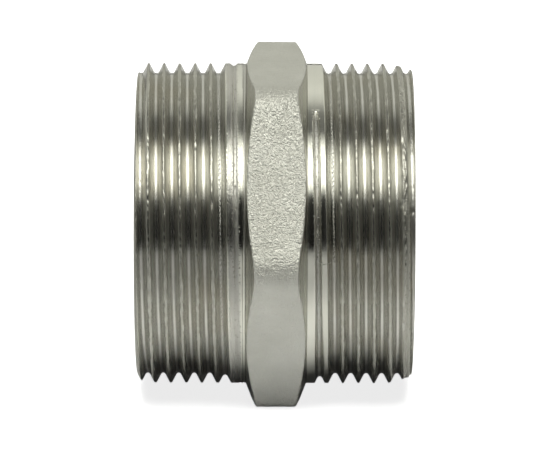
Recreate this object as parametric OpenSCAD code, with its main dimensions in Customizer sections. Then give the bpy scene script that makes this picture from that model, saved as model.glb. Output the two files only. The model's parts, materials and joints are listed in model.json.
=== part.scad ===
// Hex nipple: a short hexagon between two male ends with parallel pipe thread,
// and one straight passage through the middle.
// The axis of the nipple is X, one flat of the hexagon faces straight down (-Z),
// and the origin is on the axis, midway between the two sides of the hexagon.
// All sizes are in millimetres.

/* [Pipe thread] */
// Major diameter, over the crests (G 1 1/2)
thread_d = 47.8; // [46:0.1:48.6]
// Distance from one crest to the next, 11 to the inch
thread_pitch = 2.309; // [2.2:0.001:2.5]
// Depth from crest to root
thread_depth = 1.479; // [1.2:0.001:1.5]
// Turns over which the left groove fades out before the hexagon
left_runout = 1.15; // [0.8:0.05:1.3]
// Turns over which the right groove fades out before the hexagon
right_runout = 0.95; // [0.8:0.05:1.3]

/* [Male ends] */
// From the middle of the hexagon to the left end face
left_reach = 20.7; // [20.2:0.1:23]
// From the middle of the hexagon to the right end face
right_reach = 20.2; // [20.2:0.1:23]
// Diameter of the end faces
end_face_d = 44.7; // [43.5:0.1:45.5]
// Length of the lead-in chamfer, along the axis
lead_in = 1.3; // [0.8:0.1:1.8]

/* [Hexagon] */
// Across the flats
hex_flats = 49; // [48.7:0.1:54]
// Width along the axis where the sides meet the male ends
hex_w = 9; // [8:0.1:10]
// Slope of the hexagon's sides
side_slope = 23; // [15:1:28]
// Taken off each of the six corners, where the hexagon is turned down
corner_cut = 0.25; // [0.1:0.05:1]

/* [Passage] */
// Diameter of the passage
bore_d = 38.6; // [34:0.1:41]
// Chamfer at the mouths of the passage
mouth_chamfer = 0.6; // [0.2:0.1:1]

/* [Hidden] */
smooth = 180;
overlap = 1;
thread_r = thread_d / 2;
bore_r = bore_d / 2;
face_r = end_face_d / 2;
side_x = hex_w / 2;
// The sloping sides are drawn until this close to the hexagon's middle plane.
tip_x = 0.5;

// The groove is a V of 55 degrees between its flanks, with a flattened root.
flank_angle = 27.5;
root_half_w = 0.16;
root_blend_w = 0.37;
root_blend_h = 0.25;
// The cutter stands this far out of the blank, so that it always breaks through.
cutter_rise = 0.15;
steps_per_turn = 36;

// Middle of the full-depth groove nearest the hexagon, and its angle about X.
groove_angle = 72.8;
left_groove_x = -8.735;
right_groove_x = 7.72;

steel = [0.72, 0.72, 0.67];
cast_steel = [0.66, 0.66, 0.61];

// ---- Shapes ----

// Anything drawn around Z, turned so that it lies along X.
module along_x() {
    rotate([0, 90, 0])
        children();
}

// Hexagon with its corners turned down, one flat facing down once it lies along X.
module blunt_hexagon() {
    sharp_r = hex_flats / 2 / cos(30);
    intersection() {
        rotate(30)
            circle(r = sharp_r, $fn = 6);
        circle(r = sharp_r - corner_cut, $fn = smooth);
    }
}

// The space between the two sloping sides of the hexagon.
module between_sides() {
    tip_r = thread_r + (side_x - tip_x) / tan(side_slope);
    along_x()
        rotate_extrude($fn = smooth)
            polygon([
                [0, -side_x], [thread_r, -side_x], [tip_r, -tip_x],
                [tip_r, tip_x], [thread_r, side_x], [0, side_x]
            ]);
}

// Plain male end before threading, from the hexagon's side to the end face at x = reach.
module blank(reach) {
    along_x()
        rotate_extrude($fn = smooth)
            polygon([
                [bore_r, side_x], [thread_r, side_x], [thread_r, reach - lead_in],
                [face_r, reach], [bore_r + mouth_chamfer, reach], [bore_r, reach - mouth_chamfer]
            ]);
}

// Section of the thread cutter as [along the axis, out from the crest].
function groove_section() =
    let (top_half_w = root_blend_w
             + (thread_depth - root_blend_h + cutter_rise) * tan(flank_angle))
    [
        [-top_half_w, cutter_rise],
        [-root_blend_w, root_blend_h - thread_depth],
        [-root_half_w, -thread_depth],
        [root_half_w, -thread_depth],
        [root_blend_w, root_blend_h - thread_depth],
        [top_half_w, cutter_rise]
    ];

// How far the cutter has backed out of the blank after so many turns of a runout.
function lift(turns, runout) =
    turns <= 0 ? 0 : (thread_depth + cutter_rise) * pow(turns / runout, 2);

// Right-hand helical cutter: its middle passes x = at_x at groove_angle, when turn = 0,
// and it runs from turn = first to turn = last.
// It backs out past turn 0 in the direction of away, -1 or 1.
module thread_cutter(at_x, first, last, away, runout) {
    section = groove_section();
    n = len(section);
    steps = ceil((last - first) * steps_per_turn);
    points = [
        for (i = [0 : steps])
            let (turn = first + (last - first) * i / steps,
                 angle = groove_angle + 360 * turn,
                 out = thread_r + lift(turn * away, runout))
            for (p = section)
                let (r = out + p[1])
                [at_x + thread_pitch * turn + p[0], r * cos(angle), r * sin(angle)]
    ];
    sides = [
        for (i = [0 : steps - 1])
            for (k = [0 : n - 1])
                let (a = i * n + k, b = i * n + (k + 1) % n)
                [a, a + n, b + n, b]
    ];
    start_cap = [for (k = [0 : n - 1]) k];
    end_cap = [for (k = [0 : n - 1]) steps * n + n - 1 - k];
    polyhedron(points, concat([start_cap], sides, [end_cap]), convexity = 12);
}

// ---- Nodes ----

module hex_collar() {
    color(cast_steel)
        difference() {
            intersection() {
                along_x()
                    linear_extrude(height = hex_w, center = true)
                        blunt_hexagon();
                between_sides();
            }
            along_x()
                cylinder(d = bore_d, h = hex_w + 2 * overlap, center = true, $fn = smooth);
        }
}

module left_male_end() {
    turns_to_end = (left_reach + left_groove_x) / thread_pitch + 1;
    color(steel)
        difference() {
            mirror([1, 0, 0])
                blank(left_reach);
            thread_cutter(left_groove_x, -turns_to_end, left_runout, 1, left_runout);
        }
}

module right_male_end() {
    turns_to_end = (right_reach - right_groove_x) / thread_pitch + 1;
    color(steel)
        difference() {
            blank(right_reach);
            thread_cutter(right_groove_x, -right_runout, turns_to_end, -1, right_runout);
        }
}

hex_collar();
left_male_end();
right_male_end();
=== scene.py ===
import json
import math

import bpy
import numpy as np
from mathutils import Matrix, Vector


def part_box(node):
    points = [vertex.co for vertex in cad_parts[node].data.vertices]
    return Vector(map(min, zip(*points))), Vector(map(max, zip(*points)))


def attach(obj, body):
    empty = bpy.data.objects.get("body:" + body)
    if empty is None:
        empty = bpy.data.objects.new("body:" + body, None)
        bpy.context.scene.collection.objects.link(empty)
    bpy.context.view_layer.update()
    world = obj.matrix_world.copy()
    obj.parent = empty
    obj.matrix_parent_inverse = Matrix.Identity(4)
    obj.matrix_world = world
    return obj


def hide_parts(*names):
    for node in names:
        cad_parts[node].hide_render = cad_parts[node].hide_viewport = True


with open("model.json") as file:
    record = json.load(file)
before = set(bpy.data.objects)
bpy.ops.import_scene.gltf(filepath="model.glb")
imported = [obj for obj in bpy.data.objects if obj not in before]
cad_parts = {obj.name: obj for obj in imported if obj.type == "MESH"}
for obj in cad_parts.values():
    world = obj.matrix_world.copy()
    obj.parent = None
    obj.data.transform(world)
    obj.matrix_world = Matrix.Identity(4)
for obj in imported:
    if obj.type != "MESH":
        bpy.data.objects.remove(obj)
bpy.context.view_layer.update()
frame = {"record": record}

# A hex nipple: a sand-cast hexagon between two turned and threaded male ends.
# Shapes are worked out in millimetres and turned into metres when a mesh is made.
# Angles round the axis are in turns, from +Y towards +Z.

MM = 0.001
TURN = 2 * math.pi

# ---- Sizes from the frame ----

MOUNTS = {mount["name"]: mount for mount in frame["record"]["mounts"]}
CREST_R = MOUNTS["left_thread"]["dims"]["r_mm"]
BORE_R = MOUNTS["passage"]["dims"]["r_mm"]
SIDE_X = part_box("hex_collar")[1][0] / MM
FLAT_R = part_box("hex_collar")[1][2] / MM
LEFT_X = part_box("left_male_end")[0][0] / MM
RIGHT_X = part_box("right_male_end")[1][0] / MM
FLOOR_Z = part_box("hex_collar")[0][2]

# ---- Thread ----

PITCH = 2.309
GROOVE_DEPTH = 1.479
FLANK = math.radians(27.5)
ROOT_R = 0.42
# Angle at which the full-depth groove nearest the hexagon passes these places on the axis.
GROOVE_TURN = 72.8 / 360
LEFT_GROOVE_X = -8.735
RIGHT_GROOVE_X = 7.72
# Points round one turn, and places of the mesh rows across one pitch, from the groove's middle.
AROUND = 600
HALF_ROWS = [0.14, 0.27, 0.385, 0.55, 0.72, 0.88, 0.99, 1.06]
ROWS = [-w for w in reversed(HALF_ROWS)] + [0.0] + HALF_ROWS + [PITCH / 2]

# Beyond this distance from the middle come the chamfers.
BEVEL_X = 10

# ---- Hexagon ----

HEX_AROUND = 960
SIDE_SLOPE = math.radians(21.5)
# Rounding of the six corners, from +Y towards +Z: no two came out of the sand alike.
CORNER_RADII = [2.5, 1.5, 5.0, 6.0, 2.3, 2.6]
EDGE_R = 0.32
FLAT_ROWS = 60


def grain(shape, spacing, size, seed):
    """Random field over a grid that closes on itself, mean 0 and spread 1.

    spacing is the distance between grid points and size the length of a grain, per axis, in mm."""
    field = np.fft.fft2(np.random.default_rng(seed).standard_normal(shape))
    for axis in (0, 1):
        wave = np.fft.fftfreq(shape[axis], spacing[axis]) * math.pi * size[axis]
        fade = np.exp(-wave ** 2)
        field *= fade[:, None] if axis == 0 else fade[None, :]
    field = np.real(np.fft.ifft2(field))
    return (field - field.mean()) / field.std()


def soft_min(a, b, blend):
    """The smaller of two radii, with the corner between them rounded."""
    return 0.5 * (a + b - np.sqrt((a - b) ** 2 + blend ** 2))


# Masks that every point of a mesh carries for the materials: the place across the tool marks
# in mm, and from 0 to 1 how deep in a groove it is, which the materials also use to paint
# shade there and on the passage and the hexagon's turned sides, how close to a torn crest,
# and how much the tool chattered there.
MASKS = ("across", "depth", "wear", "chatter")


class Skin:
    """Points and faces of one closed mesh round the X axis, in mm."""

    def __init__(self, around):
        self.around = around
        self.turns = np.arange(around) / around
        self.points = []
        self.masks = []
        self.faces = []
        self.count = 0

    def add(self, x, r, turns, across, depth=0.0, wear=0.0, chatter=0.0):
        """Adds points and returns their numbers. The last four are the masks in MASKS."""
        x, r, turns, *masks = np.broadcast_arrays(x, r, turns, across, depth, wear, chatter)
        angle = turns * TURN
        self.points.append(np.column_stack((x, r * np.cos(angle), r * np.sin(angle))))
        self.masks.append(np.column_stack(masks))
        first = self.count
        self.count += len(x)
        return np.arange(first, self.count)

    def ring(self, x, r, across, depth=0.0, wear=0.0, chatter=0.0):
        return self.add(x, r, self.turns, across, depth, wear, chatter)

    def bridge(self, ring_a, ring_b):
        """Joins two rings, with ring_b further on along the outline."""
        quads = np.column_stack((ring_a, np.roll(ring_a, -1), np.roll(ring_b, -1), ring_b))
        self.faces += quads.tolist()

    def chain(self, rings):
        for ring_a, ring_b in zip(rings, rings[1:]):
            self.bridge(ring_a, ring_b)

    def make(self, name, materials, face_materials=None):
        """Makes the Blender object, in metres, with its four masks as attributes."""
        mesh = bpy.data.meshes.new(name)
        mesh.from_pydata((np.concatenate(self.points) * MM).tolist(), [], self.faces)
        masks = np.concatenate(self.masks)
        for column, label in enumerate(MASKS):
            layer = mesh.attributes.new(label, "FLOAT", "POINT")
            layer.data.foreach_set("value", masks[:, column].astype(np.float32))
        for material in materials:
            mesh.materials.append(material)
        if face_materials is not None:
            mesh.polygons.foreach_set("material_index", face_materials)
        mesh.shade_smooth()
        mesh.update()
        piece = bpy.data.objects.new(name, mesh)
        bpy.context.scene.collection.objects.link(piece)
        return piece


# ---- Male ends ----


def groove_height(offset):
    """Height of the thread's V above the crest circle, at an offset from the groove's middle."""
    offset = np.abs(offset)
    edge = ROOT_R * math.cos(FLANK)
    root = ROOT_R - GROOVE_DEPTH - np.sqrt(ROOT_R ** 2 - np.minimum(offset, edge) ** 2)
    flank = (offset - edge) / math.tan(FLANK)
    return root + np.maximum(flank, 0)


def left_lift(turn):
    """How far the left groove has faded out, so many turns past its last full-depth place."""
    turn = np.maximum(turn, 0)
    soon = GROOVE_DEPTH * (turn / 1.15) ** 2
    return np.minimum(soon, 1.26 + 0.36 * (turn - 1.06))


def right_lift(turn):
    """The right groove starts abruptly, where the tool went in, and soon reaches full depth."""
    back = np.maximum(-turn, 0)
    entry = np.maximum(back - 0.868, 0) * TURN * CREST_R
    return np.minimum(GROOVE_DEPTH * (back / 0.88) ** 2, 0.98) + 2.6 * entry


def surface(x, turns, groove_x, lift, outline, torn):
    """A male end at x and an angle: its radius, and its masks in the order of MASKS."""
    helix = turns - GROOVE_TURN
    place = (x - groove_x) / PITCH - helix
    nearest = np.round(place)
    thread = np.full_like(x, 2 * CREST_R)
    for groove in (nearest - 1, nearest, nearest + 1):
        offset = (place - groove) * PITCH
        height = groove_height(offset) + lift(groove + helix - 0.06 * offset ** 2)
        thread = np.minimum(thread, CREST_R + height)
    # A crest lies between two grooves, and where one of them has faded out it is no crest.
    before = np.floor(place)
    faded = np.maximum(lift(before + helix), lift(before + 1 + helix))
    on_thread = np.clip(1.2 - faded / 0.8, 0, 1)
    along = np.round((before + turns) * AROUND) + 173 * np.round(x / 0.12)
    torn_here = torn[along.astype(int) % len(torn)] * on_thread
    # The thin crests next to the chamfers are rounded and torn the most.
    near_end = np.clip(np.abs(x) - 17.4, 0, 1)
    torn_here = torn_here * (1 + near_end) * np.clip((19 - np.abs(x)) / 0.3, 0, 1)
    blank = np.interp(x, outline[0], outline[1])
    radius = soft_min(thread, blank - torn_here, 0.035 + 0.04 * near_end)
    # How deep in the groove: the materials paint the groove's steel darker by it, as shade.
    depth = np.clip((blank - radius) / GROOVE_DEPTH, 0, 1)
    wear = np.clip(1 - depth / 0.2, 0, 1) * on_thread
    across = np.where(on_thread > 0, np.abs(place - nearest) * PITCH, np.abs(x))
    # Where the groove is shallow the tool skipped, and it left marks even past the groove's end.
    lifted = lift(nearest + helix) / 0.5
    shallow = np.clip(lifted - 1, 0, 1) * np.clip(5 - lifted, 0, 1)
    chatter = shallow * np.clip(2.2 - np.abs(place - nearest) * PITCH / 0.3, 0, 1)
    # The chamfers are as gritty as the places where the tool chattered.
    bevel = np.clip((CREST_R - blank) / 0.25, 0, 1) * (np.abs(x) > BEVEL_X)
    # On the left neck it also rubbed the stretch beside the shallow groove, so that looks like one, with the
    # groove's painted shade.
    rubbed = np.clip((0.95 - np.abs((place - nearest) * PITCH + 0.45)) / 0.25, 0, 1) * (x < 0)
    depth = np.maximum(depth, 0.2 * shallow * rubbed)
    wear = np.maximum(wear, 0.3 * shallow * rubbed)
    chatter = np.maximum(chatter, bevel * np.clip(1.5 - depth / 0.15, 0, 1))
    return radius, across, depth, wear, chatter


def helical_rows(skin, low_x, high_x, groove_x, radius_at):
    """Mesh rows that wind along the thread between two planes, as numbers per column and row.

    The last column repeats the first one, a pitch further on."""
    per_turn = len(ROWS)
    turns_low = math.floor((low_x - groove_x) / PITCH) - 3
    turns_high = math.ceil((high_x - groove_x) / PITCH) + 3
    row_x = np.array([turn * PITCH + w for turn in range(turns_low, turns_high) for w in ROWS])
    column = np.arange(AROUND)
    x = groove_x + row_x[None, :] + (column[:, None] / AROUND - GROOVE_TURN) * PITCH
    margin = 0.04
    inside = (x > low_x + margin) & (x < high_x - margin)
    turns = np.broadcast_to(column[:, None] / AROUND, x.shape)[inside]
    radius, *masks = radius_at(x[inside], turns)
    numbers = np.full((AROUND + 1, x.shape[1]), -1)
    numbers[:-1][inside] = skin.add(x[inside], radius, turns, *masks)
    numbers[-1, :-per_turn] = numbers[0, per_turn:]
    return numbers


def join_rows(skin, ring_low, numbers, ring_high):
    """Faces between the helical rows, and from them to the plane rings at both sides."""
    corners = (numbers[:-1, :-1], numbers[1:, :-1], numbers[1:, 1:], numbers[:-1, 1:])
    whole = np.min(np.stack(corners), axis=0) >= 0
    skin.faces += np.column_stack([corner[whole] for corner in corners]).tolist()
    used = numbers >= 0
    low = used.argmax(axis=1)
    high = used.shape[1] - 1 - used[:, ::-1].argmax(axis=1)
    for i in range(skin.around):
        j = (i + 1) % skin.around
        meet = max(low[i], low[i + 1])
        near = [numbers[i + 1, k] for k in range(low[i + 1], meet + 1)]
        far = [numbers[i, k] for k in range(meet, low[i] - 1, -1)]
        skin.faces.append([int(n) for n in [ring_low[i], ring_low[j], *near, *far]])
        meet = min(high[i], high[i + 1])
        far = [numbers[i, k] for k in range(high[i], meet - 1, -1)]
        near = [numbers[i + 1, k] for k in range(meet, high[i + 1] + 1)]
        skin.faces.append([int(n) for n in [*far, *near, ring_high[j], ring_high[i]]])


def torn_crests(seed, amount=0.03):
    """How much of the crest is torn away along the whole helix, in mm."""
    count = 10 * AROUND
    step = TURN * CREST_R / AROUND
    fine = grain((1, count), (1, step), (0, 0.35), seed)[0]
    chips = grain((1, count), (1, step), (0, 0.7), seed + 1)[0]
    return np.clip(amount * (fine + 0.8), 0, 0.14) + 0.12 * np.clip(chips - 1.5, 0, 1)


def male_end(name, end_x, groove_x, lift, outline, threaded, seed, material):
    """One threaded end as a closed mesh: its outside, end face, mouth and stretch of the passage."""
    skin = Skin(AROUND)
    side = math.copysign(1, end_x)
    torn = torn_crests(seed)

    def radius_at(x, turns):
        return surface(x, turns, groove_x, lift, outline, torn)

    def turned_ring(x, pits=0.0):
        radius, *masks = radius_at(np.full(AROUND, x), skin.turns)
        return skin.ring(x, radius - pits, *masks)

    # The neck's foot, where the tool's nose left a small groove beside the hexagon.
    foot = [turned_ring(side * (SIDE_X + away)) for away in (0, 0.07, 0.14, 0.22, 0.3, 0.38, 0.46, 0.55)]
    low_x, high_x = sorted((side * (SIDE_X + 0.55), threaded))
    numbers = helical_rows(skin, low_x, high_x, groove_x, radius_at)

    # The lead-in chamfer, with its small pits, then round the rim into the end face.
    chamfer_places = np.linspace(threaded, end_x - side * 0.05, 8)
    pits = grain((8, AROUND), (0.1, 0.25), (0.15, 0.4), seed + 2)
    pits = 0.05 * np.clip(pits - 0.9, 0, 1.5)
    rim = [turned_ring(x, pits=pits[i]) for i, x in enumerate(chamfer_places)]
    rim_r = np.interp(end_x, outline[0], outline[1])
    face = [skin.ring(end_x, r, r) for r in (rim_r - 0.06, rim_r - 0.5, BORE_R + 1.2, BORE_R + 0.65)]
    face.append(skin.ring(end_x - side * 0.03, BORE_R + 0.57, BORE_R))
    face.append(skin.ring(end_x - side * 0.57, BORE_R + 0.03, BORE_R))
    bore_places = (end_x - side * 0.65, end_x / 2, side * SIDE_X)
    # The passage takes the grooves' painted shade.
    bore = [skin.ring(x, BORE_R, abs(x), depth=0.5) for x in bore_places]

    if side > 0:
        join_rows(skin, foot[-1], numbers, rim[0])
        skin.chain(foot)
        skin.chain(rim + face + bore + foot[:1])
    else:
        join_rows(skin, rim[0], numbers, foot[-1])
        skin.chain(foot[::-1])
        skin.chain((rim + face + bore + foot[:1])[::-1])
    piece = skin.make(name, [material])
    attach(piece, "root")
    return piece


# ---- Hexagon ----


def hex_radius(turns):
    """Radius of the hexagon with rounded corners, one flat facing down."""
    half = math.radians(30)
    corner = np.round(turns * 6).astype(int)
    to_corner = np.abs(turns * TURN - corner * 2 * half)
    rounding = np.array(CORNER_RADII)[corner % 6]
    flat = FLAT_R / np.cos(half - to_corner)
    centre = (FLAT_R - rounding) / math.cos(half)
    under = np.maximum(rounding ** 2 - (centre * np.sin(to_corner)) ** 2, 0)
    arc = centre * np.cos(to_corner) + np.sqrt(under)
    on_flat = FLAT_R * np.tan(half - to_corner) <= (FLAT_R - rounding) * math.tan(half)
    return np.where(on_flat, flat, arc)


def hex_outline(radius):
    """The outside of the hexagon at each angle, from its left side over the flat to its right.

    Returns x, r and the outward direction for each row."""
    edge_x = SIDE_X - (radius - CREST_R) * math.tan(SIDE_SLOPE)
    turning = math.pi / 2 - SIDE_SLOPE
    tangent = EDGE_R * math.tan(turning / 2)
    side_len = (radius - CREST_R) / math.cos(SIDE_SLOPE) - tangent
    right = []
    for part in (0, 0.12, 0.3, 0.5, 0.7, 0.88, 1):
        x = SIDE_X - side_len * part * math.sin(SIDE_SLOPE)
        r = CREST_R + side_len * part * math.cos(SIDE_SLOPE)
        right.append((x, r, math.cos(SIDE_SLOPE), math.sin(SIDE_SLOPE)))
    for step in (1, 2, 3, 4):
        lean = math.pi / 2 - SIDE_SLOPE - turning * step / 4
        x = edge_x - tangent + EDGE_R * math.sin(lean)
        r = radius - EDGE_R + EDGE_R * math.cos(lean)
        right.append((x, r, math.sin(lean), math.cos(lean)))
    flat_x = edge_x - tangent
    middle = []
    for step in range(1, FLAT_ROWS):
        across = 1 - 2 * step / FLAT_ROWS
        middle.append((flat_x * across, radius, 0.0, 1.0))
    left = [(-x, r, -nx, nr) for x, r, nx, nr in right]
    return left, middle[::-1], right[::-1]


def hex_collar(cast, turned):
    """The hexagon as a closed mesh: cast flats, turned sides, and its stretch of the passage."""
    skin = Skin(HEX_AROUND)
    radius = hex_radius(skin.turns)
    left, middle, right = hex_outline(radius)
    rows = left + middle + right
    spacing = (8 / FLAT_ROWS, TURN * FLAT_R / HEX_AROUND)
    shape = (len(rows), HEX_AROUND)
    swell = grain(shape, spacing, (2.5, 3.5), 11)
    sand = grain(shape, spacing, (0.45, 0.45), 12)
    cast_from = len(left) - 3
    cast_to = len(rows) - cast_from
    rings = []
    for i, (x, r, nx, nr) in enumerate(rows):
        is_cast = cast_from <= i < cast_to
        sink = 0.005 * np.clip(swell[i] + 2, 0, 4) + 0.010 * np.clip(sand[i] + 2, 0, 4)
        sink = sink if is_cast else 0.0
        ring_x = np.broadcast_to(x - sink * nx, (HEX_AROUND,))
        # The turned sides take the grooves' painted shade.
        rings.append(skin.ring(ring_x, r - sink * nr, r, depth=0.0 if is_cast else 0.4))
    # The passage takes the grooves' painted shade too.
    bore = [skin.ring(x, BORE_R, abs(x), depth=0.5) for x in (SIDE_X, 0, -SIDE_X)]
    skin.chain(rings + bore + rings[:1])
    bands = np.repeat(np.arange(len(rows) + 3), HEX_AROUND)
    turned_faces = (bands < cast_from - 1) | (bands >= cast_to)
    piece = skin.make("hex_collar_cast", [cast, turned], turned_faces.astype(np.int32))
    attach(piece, "root")
    return piece


# ---- Materials ----


class Nodes:
    """Short ways to add and join the nodes of a material or a world."""

    def __init__(self, tree):
        self.tree = tree

    def node(self, kind, **settings):
        made = self.tree.nodes.new(kind)
        for key, value in settings.items():
            setattr(made, key, value)
        return made

    def join(self, value, socket):
        """Sets a socket to a number or a colour, or links it to another node's output."""
        if isinstance(value, bpy.types.NodeSocket):
            self.tree.links.new(value, socket)
        elif isinstance(value, tuple):
            socket.default_value = (*value, 1)
        else:
            socket.default_value = value

    def attribute(self, name):
        return self.node("ShaderNodeAttribute", attribute_name=name).outputs["Fac"]

    def place(self):
        return self.node("ShaderNodeTexCoord").outputs["Object"]

    def camera_rays(self):
        return self.node("ShaderNodeLightPath").outputs["Is Camera Ray"]

    def math(self, operation, a, b=0.0):
        made = self.node("ShaderNodeMath", operation=operation)
        self.join(a, made.inputs[0])
        self.join(b, made.inputs[1])
        return made.outputs[0]

    def split(self, vector):
        made = self.node("ShaderNodeSeparateXYZ")
        self.join(vector, made.inputs[0])
        return made.outputs

    def noise(self, vector, scale, detail=2.0, roughness=0.5):
        made = self.node("ShaderNodeTexNoise")
        self.join(vector, made.inputs["Vector"])
        self.join(scale, made.inputs["Scale"])
        self.join(detail, made.inputs["Detail"])
        self.join(roughness, made.inputs["Roughness"])
        return made.outputs["Fac"]

    def spread(self, value, low, high, from_low=0.3, from_high=0.7):
        """Maps a value from one range to another, and holds it there."""
        made = self.node("ShaderNodeMapRange")
        self.join(value, made.inputs["Value"])
        self.join(from_low, made.inputs["From Min"])
        self.join(from_high, made.inputs["From Max"])
        self.join(low, made.inputs["To Min"])
        self.join(high, made.inputs["To Max"])
        return made.outputs["Result"]

    def mix(self, factor, color_a, color_b):
        made = self.node("ShaderNodeMix", data_type="RGBA")
        self.join(factor, made.inputs["Factor"])
        sockets = [socket for socket in made.inputs if socket.type == "RGBA"]
        self.join(color_a, sockets[0])
        self.join(color_b, sockets[1])
        return next(socket for socket in made.outputs if socket.type == "RGBA")

    def bump(self, height, distance, normal=None):
        made = self.node("ShaderNodeBump")
        self.join(height, made.inputs["Height"])
        self.join(distance, made.inputs["Distance"])
        if normal is not None:
            self.join(normal, made.inputs["Normal"])
        return made.outputs["Normal"]


class Metal(Nodes):
    """A material that is all metal, with its nodes."""

    def __init__(self, name):
        self.material = bpy.data.materials.new(name)
        self.material.use_nodes = True
        super().__init__(self.material.node_tree)
        self.surface = self.tree.nodes["Principled BSDF"]
        self.surface.inputs["Metallic"].default_value = 1.0
        self.surface.inputs["Specular Tint"].default_value = (0.8, 0.8, 0.78, 1)

    def finish(self, color, roughness, normal):
        self.join(color, self.surface.inputs["Base Color"])
        self.join(roughness, self.surface.inputs["Roughness"])
        self.join(normal, self.surface.inputs["Normal"])
        return self.material


def tool_marks(metal, stretch):
    """Coordinates in which a noise turns into fine lines round the axis."""
    _, y, z = metal.split(metal.place())
    joined = metal.node("ShaderNodeCombineXYZ")
    metal.join(metal.math("MULTIPLY", metal.attribute("across"), MM), joined.inputs[0])
    metal.join(metal.math("MULTIPLY", y, stretch), joined.inputs[1])
    metal.join(metal.math("MULTIPLY", z, stretch), joined.inputs[2])
    return joined.outputs[0]


def chatter_marks(metal):
    """Coordinates in which a noise turns into short ripples along the axis."""
    x, y, z = metal.split(metal.place())
    joined = metal.node("ShaderNodeCombineXYZ")
    metal.join(metal.math("MULTIPLY", x, 0.3), joined.inputs[0])
    metal.join(y, joined.inputs[1])
    metal.join(z, joined.inputs[2])
    return joined.outputs[0]


def turned_steel():
    """Steel turned on the lathe: shiny, with fine lines round the axis, torn, glinting crests and painted
    shade in its grooves.
    """
    metal = Metal("turned_steel")
    place = metal.place()
    fine_lines = metal.noise(tool_marks(metal, 0.03), 6500, 3.0, 0.6)
    broad_lines = metal.noise(tool_marks(metal, 0.02), 1500)
    streaks = metal.noise(tool_marks(metal, 0.25), 4000, 2.0, 0.6)
    spots = metal.noise(place, 3200, 3.0, 0.65)
    patches = metal.spread(metal.noise(place, 160, 3.0), 0, 1)
    # Inside the groove the steel is cut rougher than on the neck, and its colour is painted darker there as
    # shade; the passage and the hexagon's turned sides get the same painted shade.
    depth = metal.attribute("depth")
    shade_below_crest = metal.spread(depth, 0, 1, 0.05, 0.2)
    above_root = metal.spread(depth, 1, 0, 0.72, 0.92)
    flank = metal.math("MULTIPLY", shade_below_crest, above_root)
    wear = metal.attribute("wear")
    chatter = metal.attribute("chatter")
    unshaded_steel = metal.mix(patches, (0.67, 0.67, 0.60), (0.71, 0.71, 0.64))
    # The painted shade colour of the grooves, mottled at random.
    stains = metal.spread(metal.noise(place, 110, 2.0), 0, 1, 0.5, 0.75)
    shaded_cut = metal.mix(stains, (0.54, 0.537, 0.50), (0.53, 0.515, 0.46))
    color = metal.mix(shade_below_crest, unshaded_steel, shaded_cut)
    color = metal.mix(wear, color, (0.36, 0.355, 0.315))
    pits = metal.spread(metal.noise(place, 2800, 2.0, 0.6), 0, 1, 0.58, 0.66)
    pits = metal.math("MULTIPLY", pits, chatter)
    color = metal.mix(pits, color, (0.32, 0.31, 0.27))
    rough = metal.math("ADD", metal.spread(broad_lines, 0.08, 0.22), metal.math("MULTIPLY", flank, 0.10))
    rough = metal.math("ADD", rough, metal.math("MULTIPLY", wear, 0.08))
    rough = metal.math("ADD", rough, metal.math("MULTIPLY", chatter, 0.04))
    normal = metal.bump(fine_lines, 0.000030)
    normal = metal.bump(broad_lines, 0.000030, normal)
    normal = metal.bump(metal.math("MULTIPLY", streaks, metal.math("ADD", flank, 0.25)), 0.000028, normal)
    gritty = metal.math("MAXIMUM", wear, chatter)
    normal = metal.bump(metal.math("MULTIPLY", spots, gritty), 0.00003, normal)
    ripples = metal.noise(chatter_marks(metal), 2600, 1.0)
    normal = metal.bump(metal.math("MULTIPLY", ripples, chatter), 0.00002, normal)
    normal = metal.bump(metal.math("MULTIPLY", pits, -1), 0.00003, normal)
    return metal.finish(color, rough, normal)


def cast_steel():
    """Sand-cast steel: satin, with a fine and a coarse grain of under half a millimetre."""
    metal = Metal("cast_steel")
    place = metal.place()
    sand = metal.noise(place, 4600, 2.0, 0.6)
    coarse = metal.noise(place, 2300, 2.0, 0.6)
    patches = metal.spread(metal.noise(place, 220, 3.0), 0, 1)
    color = metal.mix(patches, (0.57, 0.57, 0.52), (0.63, 0.63, 0.58))
    normal = metal.bump(coarse, 0.00016)
    normal = metal.bump(sand, 0.00010, normal)
    return metal.finish(color, metal.spread(sand, 0.30, 0.38), normal)


def pale_floor_material():
    """Plain matt white paper with painted light: it glows strongly to the camera and faintly elsewhere, so
    that its shadows stay light.
    """
    material = bpy.data.materials.new("pale_floor")
    material.use_nodes = True
    nodes = Nodes(material.node_tree)
    surface = material.node_tree.nodes["Principled BSDF"]
    surface.inputs["Base Color"].default_value = (0.75, 0.75, 0.72, 1)
    surface.inputs["Roughness"].default_value = 0.8
    surface.inputs["Specular IOR Level"].default_value = 0.0
    surface.inputs["Emission Color"].default_value = (1, 1, 1, 1)
    # Painted glow, strong to the camera, that lifts the floor's shadows.
    glow = nodes.spread(nodes.camera_rays(), 0.03, 0.82, 0, 1)
    nodes.join(glow, surface.inputs["Emission Strength"])
    return material


# ---- Studio ----

# Brightness of the studio by angle, in degrees, from the horizon behind the camera over the top:
# a dark wall behind the camera, a dark ceiling and a bright backdrop.
ROOM = [
    (0, 0.01), (33, 0.02), (42, 0.04), (82, 0.13), (92, 0.17), (103, 0.24), (109, 0.42),
    (116, 0.74), (127, 0.90), (140, 0.86), (180, 0.86),
]
# Two soft boxes over the camera, left and right, by the same angle. They overlap a little in
# the middle, where they are dimmer, and reach out to the sides.
SOFT_BOX = [(36, 0.0), (40, 0.4), (46, 1.35), (53, 1.9), (64, 1.9), (72, 1.2), (80, 0.5), (86, 0.0)]
SOFT_BOX_GAP = (0.10, 0.24)
SOFT_BOX_GAIN = 2.3
SOFT_BOX_SIDES = (0.54, 0.70)
SIDE_GREY = 0.37
BACKDROP = 0.95


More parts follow.
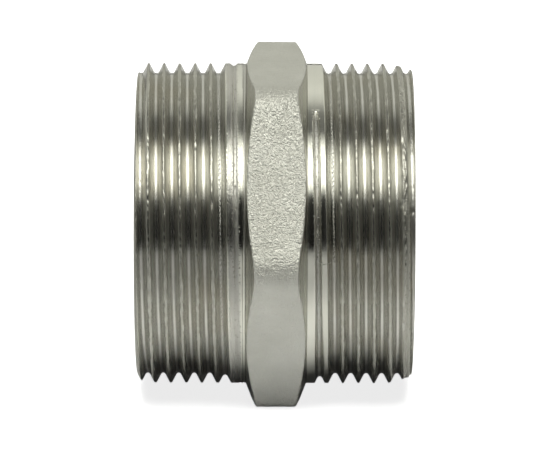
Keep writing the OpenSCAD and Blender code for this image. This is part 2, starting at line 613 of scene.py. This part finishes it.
def brightness_ramp(nodes, angle, stops):
    """A light that depends on an angle in degrees, as a colour and its greatest brightness."""
    made = nodes.node("ShaderNodeValToRGB")
    brightest = max(light for _, light in stops)
    elements = made.color_ramp.elements
    while len(elements) < len(stops):
        elements.new(1.0)
    for element, (degrees, _) in zip(elements, stops):
        element.position = degrees / 180
    for element, (_, light) in zip(elements, stops):
        element.color = (*[light / brightest] * 3, 1)
    nodes.join(angle, made.inputs[0])
    return nodes.math("MULTIPLY", made.outputs[0], brightest)


def studio_world():
    """The studio as the metal reflects it, and a plain backdrop where the camera looks past the floor."""
    world = bpy.data.worlds.new("studio")
    bpy.context.scene.world = world
    # The paper is lit by the lamps below, which the metal doesn't reflect, and by its own painted glow, not
    # by the world.
    world.cycles_visibility.diffuse = False
    world.use_nodes = True
    nodes = Nodes(world.node_tree)
    x, y, z = nodes.split(nodes.node("ShaderNodeTexCoord").outputs["Generated"])
    angle = nodes.math("ARCTAN2", z, nodes.math("MULTIPLY", y, -1))
    angle = nodes.math("DIVIDE", angle, math.pi)
    sideways = nodes.math("ABSOLUTE", x)
    beside_gap = nodes.spread(sideways, 1, SOFT_BOX_GAIN, *SOFT_BOX_GAP)
    before_end = nodes.spread(sideways, 1, 0, *SOFT_BOX_SIDES)
    in_box = nodes.math("MULTIPLY", beside_gap, before_end)
    soft_box = nodes.math("MULTIPLY", brightness_ramp(nodes, angle, SOFT_BOX), in_box)
    light = nodes.math("ADD", brightness_ramp(nodes, angle, ROOM), soft_box)
    # Straight to the sides the bands would run together, so there the room is evenly grey.
    at_side = nodes.spread(sideways, 0, 1, 0.85, 0.98)
    gap = nodes.math("SUBTRACT", SIDE_GREY, light)
    light = nodes.math("ADD", light, nodes.math("MULTIPLY", gap, at_side))
    lit = world.node_tree.nodes["Background"]
    nodes.join((1.0, 1.0, 0.93), lit.inputs["Color"])
    nodes.join(light, lit.inputs["Strength"])
    seen = nodes.node("ShaderNodeBackground")
    nodes.join((BACKDROP, BACKDROP, BACKDROP), seen.inputs["Color"])
    mix = nodes.node("ShaderNodeMixShader")
    nodes.join(nodes.camera_rays(), mix.inputs[0])
    nodes.join(lit.outputs[0], mix.inputs[1])
    nodes.join(seen.outputs[0], mix.inputs[2])
    nodes.join(mix.outputs[0], world.node_tree.nodes["World Output"].inputs["Surface"])


def floor_light(name, place, aim, size, energy, spread=180):
    """Soft light for the floor, left out of the reflections in the metal."""
    data = bpy.data.lights.new(name, "AREA")
    data.shape = "RECTANGLE"
    data.size, data.size_y = size
    data.energy = energy
    data.spread = math.radians(spread)
    light = bpy.data.objects.new(name, data)
    light.location = place
    light.rotation_euler = (Vector(aim) - Vector(place)).to_track_quat("-Z", "Y").to_euler()
    light.visible_glossy = False
    light.visible_camera = False
    bpy.context.scene.collection.objects.link(light)


def floor():
    half = 4.0
    corners = [(-half, -half, FLOOR_Z), (half, -half, FLOOR_Z), (half, half, FLOOR_Z), (-half, half, FLOOR_Z)]
    mesh = bpy.data.meshes.new("floor")
    mesh.from_pydata(corners, [], [(0, 1, 2, 3)])
    mesh.materials.append(pale_floor_material())
    piece = bpy.data.objects.new("floor", mesh)
    bpy.context.scene.collection.objects.link(piece)


def camera():
    """A long lens a little above the object, looking along +Y."""
    elevation = math.radians(17.2)
    distance = 0.70
    aim = Vector((-0.195, 0, -0.305)) * MM
    back = Vector((0, -math.cos(elevation), math.sin(elevation)))
    data = bpy.data.cameras.new("camera")
    data.sensor_width = 36
    data.lens = 306.1
    data.clip_start = 0.01
    data.clip_end = 20
    made = bpy.data.objects.new("camera", data)
    turn = (-back).to_track_quat("-Z", "Y").to_matrix().to_4x4()
    roll = Matrix.Rotation(math.radians(0.16), 4, "Z")
    made.matrix_world = Matrix.Translation(aim + back * distance) @ turn @ roll
    bpy.context.scene.collection.objects.link(made)
    bpy.context.scene.camera = made


# ---- The scene ----


camera()
studio_world()
floor_light("light_on_floor", (0, -0.10, 0.50), (0, -0.10, FLOOR_Z), (0.25, 0.25), 1.5)
floor_light("light_before_object", (0, -0.054, 0.05), (0, -0.022, FLOOR_Z), (0.08, 0.03), 0.0115, 64)
floor_light("light_on_backdrop", (0, 0.35, 0.25), (0, 0.15, FLOOR_Z), (0.4, 0.2), 1.3)
floor()
bpy.context.scene.view_settings.view_transform = "Standard"
bpy.context.scene.cycles.glossy_bounces = 8
bpy.context.scene.cycles.max_bounces = 12
bpy.context.scene.cycles.caustics_reflective = False

turned = turned_steel()
cast = cast_steel()

left_outline = (
    [LEFT_X, LEFT_X + 0.35, LEFT_X + 0.8, LEFT_X + 0.95, -4.96, -4.80, -4.64, -4.57, -4.5],
    [22.4, 23.2, 23.85, CREST_R, CREST_R, CREST_R - 0.1, CREST_R, CREST_R, CREST_R - 0.04])
left = male_end(
    "left_male_end_turned", LEFT_X, LEFT_GROOVE_X, left_lift, left_outline, LEFT_X + 0.85, 21, turned)
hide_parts("left_male_end")

right_outline = (
    [16.5, 17.9, 18.6, 19.3, RIGHT_X - 0.15, RIGHT_X], [CREST_R, 23.64, 23.5, 23.1, 23.0, 22.75])
right = male_end(
    "right_male_end_turned", RIGHT_X, RIGHT_GROOVE_X, right_lift, right_outline, RIGHT_X - 0.5, 31, turned)
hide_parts("right_male_end")

collar = hex_collar(cast, turned)
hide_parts("hex_collar")
